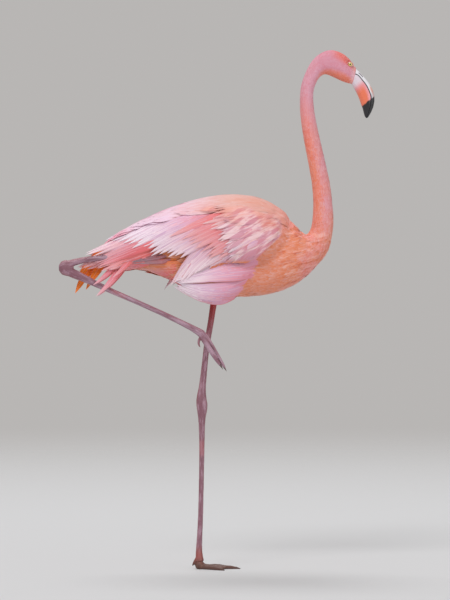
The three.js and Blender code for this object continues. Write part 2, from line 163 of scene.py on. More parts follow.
class Look:
    """A material. `node` adds any node, and `surface` sets what the surface shows."""

    def __init__(self, name):
        self.material = bpy.data.materials.new(name)
        self.material.use_nodes = True
        self.tree = self.material.node_tree
        self.shader = self.tree.nodes["Principled BSDF"]

    def add(self, kind, settings, inputs):
        made = self.tree.nodes.new(kind)
        for name, value in settings.items():
            setattr(made, name, value)
        self.feed(made, inputs)
        return made

    def node(self, kind, settings, inputs, output=0):
        return Signal(self, self.add(kind, settings, inputs).outputs[output])

    def feed(self, made, inputs):
        for name, value in inputs.items():
            if isinstance(value, Signal):
                self.tree.links.new(value.socket, made.inputs[name])
            else:
                made.inputs[name].default_value = value

    def place(self):
        return self.node("ShaderNodeTexCoord", {}, {}, "Object")

    def attribute(self, name):
        return self.node("ShaderNodeAttribute", {"attribute_name": name}, {}, "Vector")

    def vector(self, x, y, z):
        return self.node("ShaderNodeCombineXYZ", {}, {0: x, 1: y, 2: z})

    def noise(self, vector, scale, detail=3.0, roughness=0.55, distortion=0.0):
        inputs = {"Vector": vector, "Scale": scale, "Detail": detail, "Roughness": roughness}
        return self.node("ShaderNodeTexNoise", {}, {**inputs, "Distortion": distortion})

    def cells(self, vector, scale):
        """How far each place is from the edge of its cell."""
        settings = {"feature": "DISTANCE_TO_EDGE"}
        return self.node("ShaderNodeTexVoronoi", settings, {"Vector": vector, "Scale": scale})

    def mix(self, under, over, share):
        inputs = {"Factor": share, 6: under, 7: over}
        return self.node("ShaderNodeMix", {"data_type": "RGBA"}, inputs, 2)

    def bump(self, height, distance, strength=0.6):
        inputs = {"Height": height, "Distance": distance, "Strength": strength}
        return self.node("ShaderNodeBump", {}, inputs)

    def surface(self, **sockets):
        self.feed(self.shader, {name.replace("_", " "): value for name, value in sockets.items()})
        return self.material


# ---------------------------------------------------------------- colours
PEACH = rgb(232, 132, 88)
CORAL = rgb(240, 118, 84)
ROSE = rgb(230, 134, 136)
LILAC_PINK = rgb(218, 142, 158)
PALE = rgb(224, 176, 204)
WHITE = rgb(248, 236, 246)
SHADOW_OCHRE = rgb(214, 116, 52)
ORANGE = rgb(255, 134, 40)
TAIL_PINK = rgb(238, 110, 138)
GREY = rgb(118, 96, 104)
MAUVE = rgb(134, 88, 102)


def trunk_colour(look, place, along, dorsal, patches):
    """Peach and rose strands on the breast, a paler back (partly painted highlight), the wing's
    front, painted shadow under the wing, flank and vent.
    """
    x, y, z = place
    slope = look.vector(x * 0.22, y * 0.3, z - 0.25 * x)
    strands = look.noise(slope, 120, 3, distortion=0.8)
    breast = look.mix(PEACH, ROSE, (patches + strands * 0.5).step(0.68, 0.86) * 0.6)
    breast = look.mix(breast, rgb(250, 178, 156), strands.step(0.54, 0.68) * 0.7)
    breast = look.mix(breast, rgb(200, 84, 48), strands.step(0.46, 0.32) * 0.75)
    # The top of the back is paler: partly its own tone, partly a painted highlight along the top.
    crest = look.mix(rgb(222, 168, 156), rgb(236, 202, 224), x.step(0.04, -0.12))
    back = look.mix(PEACH, crest, (dorsal.step(0.2, 0.8) * (patches + 0.5)).held())
    trunk = look.mix(breast, back, along.step(0.3, 0.22))
    sweep = look.vector(0.15 * x, y * 0.3, z - 0.6 * x)
    strokes = look.noise(sweep, 95, 3)
    coverts = look.mix(rgb(242, 204, 208), rgb(214, 146, 164), strokes.step(0.44, 0.56))
    coverts = look.mix(coverts, PEACH, (patches * 0.8 + z * 6 - 4.5).step(0.4, 0.75) * 0.7)
    above_breast = (z - 0.95 * x).step(0.596, 0.604) * z.step(0.672, 0.68)
    behind_bend = (x + (patches - 0.5) * 0.03).step(0.146, 0.134) * along.step(0.14, 0.16)
    on_wing = behind_bend * above_breast * dorsal.step(0.9, 0.75)
    trunk = look.mix(trunk, coverts, on_wing)
    # Painted shadow: deep ochre on the flank under the wing's lower edge, where the wing shades it.
    under_wing = x.band(-0.215, -0.085, 0.02) * z.band(0.63, 0.7, 0.012)
    trunk = look.mix(trunk, SHADOW_OCHRE, under_wing * 0.85)
    vent = x.band(-0.16, -0.08, 0.02) * z.step(0.648, 0.636)
    trunk = look.mix(trunk, rgb(226, 96, 108), vent * 0.8)
    return look.mix(trunk, TAIL_PINK, x.step(-0.17, -0.24) * 0.75)


def neck_colour(look, along, dorsal, patches):
    """Coral behind and pink in front, streaked, and cooler towards the nape."""
    streaks = look.noise(look.attribute("body").stretched(18, 4, 0), 2, 4, distortion=0.4)
    behind = look.mix(CORAL, PEACH, patches.step(0.4, 0.7) * 0.6)
    front = look.mix(rgb(226, 132, 126), LILAC_PINK, patches.step(0.35, 0.65) * 0.8)
    neck = look.mix(front, behind, (dorsal + (streaks - 0.5) * 1.3).step(-0.5, 0.55))
    neck = look.mix(neck, rgb(246, 180, 158), streaks.step(0.56, 0.72) * 0.3)
    return look.mix(neck, rgb(220, 150, 174), along.step(0.6, 0.74) * 0.85)


def plumage_colour(look):
    """The markings of the body, shared by the skin and by the coat that covers it. The body
    attribute holds the way along the spine, how near the back it is and each feather's chance."""
    along, dorsal, chance = look.attribute("body").parts()
    patches = look.noise(look.place(), 13, 2)
    trunk = trunk_colour(look, look.place().parts(), along, dorsal, patches)
    colour = look.mix(trunk, neck_colour(look, along, dorsal, patches), along.step(0.41, 0.54))
    face = look.mix(rgb(218, 138, 160), rgb(216, 122, 142), patches.step(0.4, 0.6))
    colour = look.mix(colour, face, along.step(0.78, 0.84))
    brow = along.step(0.87, 0.92) * (dorsal + (patches - 0.5) * 0.8).step(0.2, 0.8)
    colour = look.mix(colour, rgb(228, 88, 66), brow * 0.9)
    throat = along.step(0.72, 0.84) * (dorsal + (patches - 0.5) * 0.4).step(-0.45, -0.95)
    colour = look.mix(colour, rgb(240, 112, 56), throat * 0.9)
    bill_edge = along.step(0.972, 0.99)
    colour = look.mix(colour, rgb(238, 206, 210), bill_edge * 0.4)
    return look.mix(colour, WHITE, chance * 0.1)


def skin_look():
    look = Look("body_skin")
    pores = look.noise(look.place(), 900, 2)
    return look.surface(
        Base_Color=look.mix(plumage_colour(look), rgb(206, 104, 82), 0.2),
        Roughness=0.62,
        Normal=look.bump(pores, 0.0004),
    )


def coat_look():
    look = Look("coat_feathers")
    across, lengthwise, chance = look.attribute("vane").parts()
    streaks = look.noise(look.vector(across * 1.6, lengthwise * 0.7, chance * 37), 2.6, 3)
    # Painted shade: each small feather is darker towards its root, where the feathers before it
    # overlap it.
    shaded = look.mix(plumage_colour(look), rgb(218, 112, 84), lengthwise.step(0.5, 0.1) * 0.25)
    shaded = look.mix(shaded, rgb(226, 116, 92), (streaks + chance * 0.12).step(0.52, 0.36) * 0.35)
    tipped = look.mix(shaded, WHITE, lengthwise.step(0.65, 1.0) * 0.16 * (1 - across.size()))
    tipped = look.mix(tipped, WHITE, (streaks + chance * 0.1).step(0.56, 0.74) * 0.22)
    barbs = (lengthwise * 30 + across.size() * 22 + chance * 6).sine()
    return look.surface(
        Base_Color=tipped,
        Roughness=0.68,
        Normal=look.bump(barbs, 0.0002, 0.3),
        Specular_IOR_Level=0.25,
        Sheen_Weight=0.08,
    )


def long_feather_look():
    """Long feathers carry their own tint: how pink, how orange and how grey they are."""
    look = Look("long_feathers")
    across, lengthwise, chance = look.attribute("vane").parts()
    pink, orange, grey = look.attribute("tint").parts()
    streaks = look.noise(look.vector(across * 2.4, lengthwise * 0.8, chance * 37), 2.6, 5, 0.65)
    rosy = look.mix(rgb(230, 112, 108), TAIL_PINK, streaks)
    # Painted shade: pinker towards the root, where the feathers before it overlap it; the tint's
    # pink and the streaks are the feather's own.
    pinkness = (pink + (streaks - 0.5) * 1.3 + (0.45 - lengthwise) * 0.9).held()
    pale = look.mix(PALE, WHITE, (streaks * 0.8 + lengthwise * 0.5).step(0.55, 0.95))
    lilac = look.mix(pale, rgb(206, 172, 208), streaks.step(0.52, 0.36) * 0.7)
    colour = look.mix(lilac, rosy, pinkness)
    colour = look.mix(colour, rgb(236, 134, 82), (orange * (streaks + 0.35)).held())
    colour = look.mix(colour, ORANGE, (orange - 1).held())
    colour = look.mix(colour, GREY, grey)
    shaft = across.size().step(0.09, 0.03)
    colour = look.mix(colour, WHITE, shaft * 0.25)
    # Painted shade: coral along each vane's edges, where it meets the feathers beside it, stronger
    # on orange feathers.
    edge = across.size().step(0.72, 1.0)
    colour = look.mix(colour, rgb(222, 112, 84), edge * (orange * 1.6 + 0.3).held())
    barbs = (lengthwise * 150 + across.size() * 60).sine()
    return look.surface(
        Base_Color=colour,
        Roughness=0.6,
        Normal=look.bump(barbs * 0.25 + streaks, 0.0005, 0.4),
        Specular_IOR_Level=0.3,
        Sheen_Weight=0.08,
    )


def leg_look():
    """Scaled skin. The leg attribute holds the way round a leg, the way up it and the creases."""
    look = Look("leg_scales")
    around, height, crease = look.attribute("leg").parts()
    x, y, z = look.place().parts()
    blotch = look.noise(look.vector(around * 1.6, height * 9, z * 4), 2.5, 5)
    scutes = look.cells(look.vector(around * 6, height * 190, 0), 1)
    fine = look.cells(look.place(), 520)
    colour = look.mix(MAUVE, rgb(168, 130, 146), blotch.step(0.42, 0.62))
    colour = look.mix(colour, rgb(152, 82, 84), (around.size() - 0.5).size().step(0.2, 0.45) * 0.55)
    colour = look.mix(colour, rgb(112, 66, 80), scutes.step(0.12, 0.0) * 0.3)
    colour = look.mix(colour, rgb(148, 28, 32), height.step(0.78, 0.95))
    colour = look.mix(colour, rgb(184, 104, 108), height.band(0.4, 0.435, 0.02) * 0.4)
    # Painted light: the raised leg's shank and foot are paler in blotches, where the light falls on
    # them.
    raised = y.step(-0.016, -0.02) * x.step(-0.31, -0.25)
    colour = look.mix(colour, rgb(184, 154, 172), raised * blotch.step(0.3, 0.6) * 0.5)
    earthy = look.mix(rgb(78, 54, 46), rgb(108, 76, 62), blotch.step(0.4, 0.65))
    colour = look.mix(colour, rgb(152, 74, 64), z.step(0.06, 0.03) * 0.85)
    colour = look.mix(colour, earthy, z.step(0.03, 0.008) * 0.9)
    # Painted shade: darker in the creases between the closed toes.
    colour = look.mix(colour, rgb(84, 50, 58), crease * 0.8)
    relief = fine.step(0.0, 0.12) * 0.35 + scutes.step(0.0, 0.1) * 0.5
    return look.surface(
        Base_Color=colour,
        Roughness=0.48,
        Normal=look.bump(relief, 0.0004, 0.5),
        Coat_Weight=0.12,
    )


def bill_look():
    """Horn. The bill attribute holds the distances above the gape and along it, in millimetres,
    and whether it is the lower half."""
    look = Look("bill_horn")
    x, _, z = look.place().parts()
    above, along, lower = look.attribute("bill").parts()
    grain = look.noise(look.place().stretched(1, 1, 0.3), 160, 4)
    slant = z - 0.8 * x  # falls towards the tip of the bill
    white = look.mix(rgb(240, 240, 246), rgb(216, 206, 216), grain.step(0.4, 0.7) * 0.6)
    upper = look.mix(white, rgb(226, 140, 106), slant.step(0.803, 0.782) * above.step(2, 6) * 0.8)
    upper = look.mix(upper, rgb(190, 186, 194), slant.step(0.782, 0.768) * 0.6)
    middle = look.mix(rgb(226, 212, 222), rgb(236, 152, 160), slant.step(0.826, 0.806))
    core = slant.step(0.818, 0.792) * (above + grain * 4).step(0, -9)
    under = look.mix(middle, rgb(240, 122, 80), core * 0.9)
    colour = look.mix(upper, under, lower)
    black = (slant + grain * 0.006).step(0.768, 0.764)
    colour = look.mix(colour, rgb(34, 34, 38), black)
    # Painted shade: a dark line along the gape, for the shade in the narrow parting between the
    # bill's halves.
    parting = (above.size() + grain * 0.8).step(2.1, 1.1)
    colour = look.mix(colour, rgb(44, 40, 46), parting * 0.92)
    # Painted shade: the nostril slit is dark, for the shade inside it.
    nostril = (above - 5.2).size().step(1.1, 0.5) * along.band(9, 19, 1.2) * (1 - lower)
    colour = look.mix(colour, rgb(60, 46, 50), nostril * 0.9)
    height = grain * 0.4 - nostril - parting * 0.5
    return look.surface(
        Base_Color=colour,
        Roughness=0.34,
        Normal=look.bump(height, 0.0006, 0.4),
        Coat_Weight=0.2,
    )


def claw_look():
    look = Look("claw_horn")
    grain = look.noise(look.place(), 500, 3)
    colour = look.mix(rgb(70, 52, 50), rgb(104, 80, 74), grain)
    return look.surface(Base_Color=colour, Roughness=0.4)


def lid_look():
    look = Look("eyelid_skin")
    fine = look.cells(look.place(), 1500)
    colour = look.mix(rgb(214, 150, 150), rgb(236, 186, 180), fine.step(0.0, 0.3))
    return look.surface(Base_Color=colour, Roughness=0.5, Normal=look.bump(fine, 0.0003))


def eye_look():
    look = Look("eye_wet")
    x, _, z = look.place().parts()
    across = x - EYE.x * MM
    up = z - EYE.z * MM
    radius = (across * across + up * up).math("SQRT") * 1000
    rays = look.noise(look.place(), 1500, 2)
    iris = look.mix(rgb(238, 222, 140), rgb(214, 176, 84), (radius * 0.2 + rays * 0.5 - 0.4).held())
    ringed = look.mix(iris, rgb(60, 36, 28), radius.step(3.9, 4.6))
    colour = look.mix(rgb(8, 8, 10), ringed, radius.step(1.7, 2.0))
    return look.surface(Base_Color=colour, Roughness=0.12, Coat_Weight=1.0, Coat_Roughness=0.03)


# ---------------------------------------------------------------- meshes
def finished(piece, slot, material):
    """Gives a piece its material and joins it to the bird's one body. The record slot is not used.
    """
    piece.data.materials.clear()
    piece.data.materials.append(material)
    piece.data.polygons.foreach_set("use_smooth", [True] * len(piece.data.polygons))
    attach(piece, "root")
    return piece


def piece_of(name, mesh):
    piece = bpy.data.objects.new(name, mesh)
    bpy.context.scene.collection.objects.link(piece)
    return piece


def mesh_of(name, points, faces):
    mesh = bpy.data.meshes.new(name)
    mesh.from_pydata(points.reshape(-1, 3).tolist(), [], faces.tolist())
    return mesh


def mesh_from(shape, name):
    """The mesh of a bmesh that is done with."""
    mesh = bpy.data.meshes.new(name)
    shape.to_mesh(mesh)
    shape.free()
    return mesh


def give_attribute(mesh, name, values):
    """Stores a vector at each vertex, for the shaders to read."""
    data = mesh.attributes.new(name, "FLOAT_VECTOR", "POINT").data
    data.foreach_set("vector", np.asarray(values, np.float32).ravel())


def give_bake_map(mesh, places):
    """Lays the bake map out from a place in it for each vertex."""
    corners = np.zeros(len(mesh.loops), np.int32)
    mesh.loops.foreach_get("vertex_index", corners)
    bake_map = mesh.uv_layers.new(name="OFBake").data
    bake_map.foreach_set("uv", np.asarray(places, np.float32)[corners].ravel())


def joined_copy(nodes, grow):
    """A merged copy of some CAD nodes in one mesh, swollen a little so that they run together."""
    whole = bmesh.new()
    for node in nodes:
        part = bmesh.new()
        part.from_mesh(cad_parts[node].data)
        bmesh.ops.remove_doubles(part, verts=part.verts, dist=MERGED)
        part.normal_update()
        for vertex in part.verts:
            vertex.co += vertex.normal * grow
        whole.from_mesh(mesh_from(part, node + "_copy"))
    return mesh_from(whole, "joined")


def search_tree(nodes):
    """The surface of some CAD nodes, for rays to be cast at."""
    whole = bmesh.new()
    whole.from_mesh(joined_copy(nodes, 0))
    return BVHTree.FromBMesh(whole)


def remeshed(name, nodes, voxel, smoothing, grow):
    """One smooth closed surface round some CAD nodes."""
    piece = piece_of(name, joined_copy(nodes, grow))
    remesh = piece.modifiers.new("skin", "REMESH")
    remesh.mode = "VOXEL"
    remesh.voxel_size = voxel
    smooth = piece.modifiers.new("smooth", "SMOOTH")
    smooth.factor = 0.6
    smooth.iterations = smoothing
    shaped = piece.evaluated_get(bpy.context.evaluated_depsgraph_get())
    surface = bpy.data.meshes.new_from_object(shaped)
    piece.modifiers.clear()
    piece.data = surface
    return piece


def points_of(mesh):
    points = np.zeros(len(mesh.vertices) * 3)
    mesh.vertices.foreach_get("co", points)
    return points.reshape(-1, 3)


def normals_of(mesh):
    normals = np.zeros(len(mesh.vertices) * 3, np.float32)
    mesh.vertex_normals.foreach_get("vector", normals)
    return normals.reshape(-1, 3)


def keep_rim_sharp(mesh, rim):
    """Marks the edges along the rims of vanes as sharp, so that each face is lit as flat."""
    ends = np.zeros(len(mesh.edges) * 2, np.int32)
    mesh.edges.foreach_get("vertices", ends)
    ends = ends.reshape(-1, 2)
    sharp = rim[ends[:, 0]] & rim[ends[:, 1]]
    mesh.attributes.new("sharp_edge", "BOOLEAN", "EDGE").data.foreach_set("value", sharp)


def nearest_on(line, points):
    """How far off a line points lie, how far along it, the way to them and the line's own way."""
    line = np.asarray(line, float)
    starts, steps = line[:-1], np.diff(line, axis=0)
    lengths = np.linalg.norm(steps, axis=1)
    before = np.concatenate([[0], np.cumsum(lengths)[:-1]])
    share = np.clip(np.einsum("psk,sk->ps", points[:, None] - starts, steps) / lengths**2, 0, 1)
    away = points[:, None] - starts - share[..., None] * steps
    off = np.linalg.norm(away, axis=2)
    along = before + share * lengths
    ways = steps / lengths[:, None]
    rows, best = np.arange(len(points)), np.argmin(off, axis=1)
    return off[rows, best], along[rows, best], away[rows, best], ways[best]


def unit(vectors):
    return vectors / np.maximum(np.linalg.norm(vectors, axis=-1, keepdims=True), 1e-9)


def curve_through(values, count):
    """A smooth run of rows through the given rows, as many as asked for."""
    values = np.asarray(values, float)
    last = len(values) - 1
    place = np.linspace(0, last, count)
    index = np.minimum(place.astype(int), last - 1)
    t = (place - index)[:, None]
    before, a, b, after = (values[np.clip(index + k, 0, last)] for k in (-1, 0, 1, 2))
    bend = 2 * before - 5 * a + 4 * b - after
    twist = 3 * a - before - 3 * b + after
    return 0.5 * (2 * a + (b - before) * t + bend * t**2 + twist * t**3)


# ---------------------------------------------------------------- the skin
MOST_CROSSINGS = 14  # of a ray with the surfaces of solids, on its way out of the body
WIDEST_GAP = 3 * MM  # between two solids that are one body


def outer_reach(tree, centre, direction):
    """How far the body goes from a point inside it, over the thin gaps between its solids."""
    start, reach = centre, 0.0
    for _ in range(MOST_CROSSINGS):
        hit, normal, _, distance = tree.ray_cast(start, direction, 200 * MM)
        if hit is None:
            break
        leaving = normal.dot(direction) > 0
        if not leaving and reach > 0 and distance > WIDEST_GAP:
            break
        start = hit + direction * 0.02 * MM
        if leaving:
            reach = (hit - centre).length
    return reach


def eased(grid, rounds):
    """A grid of values smoothed along the bird and round it."""
    for _ in range(rounds):
        grid = 0.5 * grid + 0.25 * (np.roll(grid, 1, 1) + np.roll(grid, -1, 1))
        middle = 0.5 * grid[1:-1] + 0.25 * (grid[2:] + grid[:-2])
        grid = np.concatenate([grid[:1], middle, grid[-1:]])
    return grid


def without_dents(grid, reach):
    """A grid with its narrow dents along the bird filled, such as those between solids."""
    for pick in (np.max, np.min):
        padded = np.pad(grid, ((reach, reach), (0, 0)), "edge")
        grid = pick([padded[k : k + RINGS] for k in range(2 * reach + 1)], axis=0)
    return grid


def lowest_near(grid, reach):
    """The least value within some steps of each place in a grid."""
    padded = np.pad(grid, ((reach, reach), (0, 0)), "edge")
    shifted = [padded[k : k + len(grid)] for k in range(2 * reach + 1)]
    shifted += [np.roll(grid, k, 1) for k in range(-reach, reach + 1)]
    return np.min(shifted, axis=0)


class Body:
    """The bird's surface as rings of points from the rump to the bill, at angles from the back."""

    def __init__(self):
        route = curve_through(SPINE, RINGS)
        self.centres = np.stack([route[:, 0], 0 * route[:, 0], route[:, 1]], 1) * MM
        self.depth = route[:, 3:4] * MM
        lean = np.radians(route[:, 2])
        up = np.stack([np.cos(lean), 0 * lean, np.sin(lean)], 1)
        side = np.array([0.0, 1.0, 0.0])
        angles = 2 * np.pi * np.arange(AROUND) / AROUND
        self.dorsal = np.cos(angles)
        sideways = side * np.sin(angles)[None, :, None]
        self.directions = up[:, None] * self.dorsal[None, :, None] + sideways
        outer = self.reach_of_flesh()
        # The skin lies under the solids' surface by the coat's depth, and closes at the rump.
        inner = np.maximum(outer - self.depth, LEAST_SKIN * outer)
        closing = np.sqrt(np.clip(np.arange(RINGS) / RUMP_RINGS, 0, 1))[:, None]
        inner = eased(inner, 2) * closing
        # Its last rings run on into the bill's base, and the very last is drawn in.
        inner[-1] *= 0.88
        self.centres[-4:] += np.outer([1, 2, 3, 4], [0.6, 0, -0.2]) * MM
        self.points = self.centres[:, None] + self.directions * inner[..., None]
        self.along_step = np.gradient(self.points, axis=0)
        self.around_step = (np.roll(self.points, -1, 1) - np.roll(self.points, 1, 1)) / 2
        normals = unit(np.cross(self.along_step, self.around_step))
        outward = np.sum(normals * self.directions, -1, keepdims=True)
        normals = np.where(outward < 0, -normals, normals)
        self.normals = unit(normals + 0.2 * self.directions)

    def reach_of_flesh(self):
        """How far the solids go in each direction, measured on one side and mirrored."""
        tree = search_tree(FLESH)
        half = AROUND // 2 + 1
        reach = np.array(
            [
                [outer_reach(tree, Vector(c), Vector(d)) for d in ring[:half]]
                for c, ring in zip(self.centres, self.directions)
            ]
        )
        reach = without_dents(np.concatenate([reach, reach[:, 1 : half - 1][:, ::-1]], 1), 4)
        level = -lowest_near(-lowest_near(reach, 3), 3)  # without its narrow spikes
        return eased(np.minimum(reach, level + 1 * MM), 4)

    def sample(self, grid, ring, around):
        """Values of a grid at places between its points."""
        ring = np.clip(ring, 0, RINGS - 1.001)
        r, a = np.floor(ring).astype(int), np.floor(around).astype(int)
        fr, fa = (ring - r)[..., None], (around - a)[..., None]
        a, b = a % AROUND, (a + 1) % AROUND
        near = grid[r, a] * (1 - fa) + grid[r, b] * fa
        far = grid[r + 1, a] * (1 - fa) + grid[r + 1, b] * fa
        return near * (1 - fr) + far * fr

    def place_in_map(self, ring, around):
        """A place on the skin's unwrap: across it by the way round, up it by the way along."""
        share = np.stack([around % AROUND / AROUND, ring / RINGS], -1)
        return MAP_MARGIN + (1 - 2 * MAP_MARGIN) * share

    def skin_mesh(self):
        grid = bmesh.new()
        bmesh.ops.create_grid(grid, x_segments=AROUND, y_segments=RINGS - 1, size=1)
        grid.verts.ensure_lookup_table()
        wrapped = np.concatenate([self.points, self.points[:, :1]], 1).reshape(-1, 3)
        for vertex, point in zip(grid.verts, wrapped):
            vertex.co = point
        bmesh.ops.remove_doubles(grid, verts=grid.verts, dist=MERGED)
        bmesh.ops.holes_fill(grid, edges=[e for e in grid.edges if e.is_boundary])
        bmesh.ops.triangulate(grid, faces=[f for f in grid.faces if len(f.verts) > 4])
        bmesh.ops.recalc_face_normals(grid, faces=grid.faces)
        return mesh_from(grid, "skin")


def skin_piece(body, material):
    mesh = body.skin_mesh()
    tree = KDTree(RINGS * AROUND)
    for index, point in enumerate(body.points.reshape(-1, 3)):
        tree.insert(point, index)
    tree.balance()
    nearest = np.array([tree.find(p)[1] for p in points_of(mesh)])
    ring, around = nearest // AROUND, nearest % AROUND
    chance = np.full(len(ring), 0.5)
    give_attribute(mesh, "body", np.stack([ring / (RINGS - 1), body.dorsal[around], chance], 1))
    piece = finished(piece_of("skin", mesh), "body_plumage", material)
    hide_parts(*FLESH)


# ---------------------------------------------------------------- feathers
SIZE_SPREAD = 0.3  # how much the small feathers' lengths and widths differ, as a share
LIFT_SPREAD = 0.12  # the same for how high they stand
TUCK = 0.6 * MM  # how far a small feather sinks at its root
LEAST_THICK = 0.1 * MM  # half of a vane's thickness at its edge
MAP_PATCH = 0.0028  # the size of a small feather's patch in the bake map


def vane_template(around, along):
    """A closed leaf. Gives how far across, how far along and on which face its points are."""
    ball = bmesh.new()
    bmesh.ops.create_uvsphere(ball, u_segments=around, v_segments=along, radius=1)
    bmesh.ops.triangulate(ball, faces=ball.faces)
    ball.verts.ensure_lookup_table()
    points = np.array([v.co[:] for v in ball.verts])
    faces = np.array([[v.index for v in f.verts] for f in ball.faces])
    ball.free()
    lengthwise = np.arccos(np.clip(-points[:, 2], -1, 1)) / np.pi
    ring = np.maximum(np.hypot(points[:, 0], points[:, 1]), 1e-6)
    across = np.where(ring > 1e-5, points[:, 0] / ring, 0)
    face = np.where(ring > 1e-5, points[:, 1] / ring, 0)
    return across, lengthwise, face, faces


def vane_width(lengthwise, pointed):
    """A feather's width along it, as a share of its widest. It ends round at 0.5, pointed at 1."""
    rising = 0.35 + 0.65 * np.minimum(lengthwise / 0.4, 1) ** 0.8
    closing = np.clip((1 - lengthwise) / 0.55, 0, 1)
    return rising * np.clip(1 - (1 - closing) ** 2, 0, 1) ** pointed


def long_width(lengthwise):
    """A long feather's width: fullest near its root third, then drawn out to a point."""
    rising = 0.45 + 0.55 * np.sin(np.pi / 2 * np.minimum(lengthwise / 0.3, 1))
    taper = np.clip((lengthwise - 0.3) / 0.7, 0, 1)
    return rising * (1 - taper**1.7) ** 0.85


class Roots:
    """Where the feathers of a coat grow, and what decides their shape there."""

    def __init__(self, body, rings, arounds):
        self.rings, self.arounds = rings, arounds
        self.station = rings * (len(SPINE) - 1) / (RINGS - 1)
        self.x, self.y, self.z = body.sample(body.points, rings, arounds).T / MM
        self.dorsal = np.cos(2 * np.pi * arounds / AROUND)
        self.side = np.sign(np.sin(2 * np.pi * arounds / AROUND))
        self.depth = body.depth[np.clip(rings, 0, RINGS - 1).astype(int), 0]


def varied(values, chance, spread):
    """Values that differ by up to half the spread either way."""
    return values * (1 + spread * (chance - 0.5))


def small_feathers(body, name, kind, roots, sizes, vane, material):
    """A joined mesh of small feathers over one stretch of the body."""
    across, lengthwise, face, faces = vane_template(*vane)
    count = len(roots.rings)
    chance = rng.random((count, 4))
    along_size, around_size = (
        np.linalg.norm(body.sample(step, roots.rings, roots.arounds), axis=1)
        for step in (body.along_step, body.around_step)
    )
    along_size = np.maximum(along_size, 0.35 * np.median(along_size))  # where rings crowd
    length = varied(sizes[0], chance[:, 0], SIZE_SPREAD)[:, None]
    width = varied(sizes[1], chance[:, 1], SIZE_SPREAD)[:, None]
    lift = varied(kind["lift"](roots), chance[:, 2], LIFT_SPREAD)[:, None]
    turn = (kind["turn"](roots) + (chance[:, 3] - 0.5) * kind["ruffle"])[:, None]
    # Each vane is laid out flat, turned about its root and then bent over the skin.
    shape = vane_width(lengthwise, kind["pointed"])
    sway = kind["sway"] * np.sin(lengthwise * 5 + chance[:, :1] * 6.3) * length
    sideways = across * shape * width / 2 + sway * lengthwise
    back = lengthwise * length
    turned_back = back * np.cos(turn) - sideways * np.sin(turn)
    turned_side = back * np.sin(turn) + sideways * np.cos(turn)
    ring = roots.rings[:, None] - turned_back / along_size[:, None]
    around = roots.arounds[:, None] + turned_side / around_size[:, None]
    outward = unit(body.sample(body.normals, ring, around))
    rise = lift * (1 - (1 - kind["root_lift"]) * (1 - lengthwise) ** 2) - TUCK
    camber = kind["camber"] * width * shape * (1 - across**2)
    thick = face * (0.005 * length * shape + LEAST_THICK)
    points = body.sample(body.points, ring, around)
    points += outward * (rise + camber + thick)[..., None]
    index = faces[None] + len(lengthwise) * np.arange(count)[:, None, None]
    mesh = mesh_of(name, points, index.reshape(-1, 3))
    keep_rim_sharp(mesh, np.tile(np.abs(face) < 1e-3, count))
    flat = np.zeros((count, len(lengthwise)))
    along = (roots.rings / (RINGS - 1))[:, None] + flat
    luck = chance[:, :1] + flat
    give_attribute(mesh, "body", np.stack([along, roots.dorsal[:, None] + flat, luck], -1))
    give_attribute(mesh, "vane", np.stack([across + flat, lengthwise + flat, luck], -1))
    patch = MAP_PATCH * np.stack([across / 2, lengthwise - 0.5], -1)
    places = body.place_in_map(roots.rings, roots.arounds)[:, None] + patch[None]
    give_bake_map(mesh, np.clip(places, 0.001, 0.999).reshape(-1, 2))
    finished(piece_of(name, mesh), kind["slot"], material)


def rows_of_roots(body, ends, gaps, keep):
    """Staggered rows of roots between two stations, with gaps between rows and along them."""
    rings, arounds = [], []
    row_gap, gap = np.array(gaps) * MM
    ring, end = np.array(ends) * (RINGS - 1) / (len(SPINE) - 1)
    row = 0
    while ring < end:
        at = int(ring)
        steps = np.linalg.norm(body.around_step[at], axis=1)
        spacing = np.linalg.norm(body.along_step[at], axis=1)
        run = np.cumsum(steps)
        number = max(6, int(run[-1] / gap))
        wanted = (np.arange(number) + 0.5 * (row % 2)) * run[-1] / number
        around = np.interp(wanted, np.concatenate([[0], run]), np.arange(AROUND + 1))
        around += rng.normal(0, 0.12, number) * gap / np.mean(steps)
        rings.append(ring + rng.normal(0, 0.15, number) * row_gap / np.mean(spacing))
        arounds.append(around)
        ring += row_gap / np.percentile(spacing, 60)
        row += 1
    rings, arounds = np.concatenate(rings), np.concatenate(arounds) % AROUND
    kept = keep(Roots(body, rings, arounds)) > rng.random(len(rings))
    return Roots(body, np.clip(rings[kept], 0, RINGS - 1.01), arounds[kept])


def covered_by_wing(roots):
    """Whether the long feathers of the wing lie over the coat."""
    lower_edge = np.interp(roots.x, [-300, -100, -20, 32, 120, 150], [650, 650, 672, 690, 705, 757])
    return (roots.x < 138) & (roots.z > lower_edge + 8) & (np.abs(roots.y) > 34)


def open_to_view(roots):
    """Keeps feathers off the eyelids, and has fewer where the wing hides them."""
    eye = np.hypot(roots.x - EYE.x, roots.z - EYE.z)
    return np.clip((eye - EYE_RADIUS) / 0.6, 0, 1) * np.where(covered_by_wing(roots), 0.45, 1)


def along_back(roots):
    """Keeps the mantle's feathers to the back, where the two wings meet."""
    return np.clip((roots.dorsal - 0.74) / 0.1, 0, 1)


def on_wing_front(roots):
    """Keeps the wing's coverts to a rounded patch behind its bend."""
    lower_edge = np.interp(roots.x, [40, 100, 130, 148], [716, 706, 726, 752])
    rear_edge = np.interp(roots.z, [700, 740, 790], [90, 82, 84])
    inside = np.minimum(roots.z - lower_edge, roots.x - rear_edge) / 6
    return np.clip(inside, 0, 1) * (roots.dorsal < 0.9) * (roots.x < 150)


def straight(roots):
    return 0 * roots.arounds


def drooping(roots):
    """Feathers of the flank and thigh point down as well as back."""
    low = np.clip((680 - roots.z) / 80, 0, 1) * np.clip((120 - roots.x) / 80, 0, 1)
    return 0.45 * roots.side * low


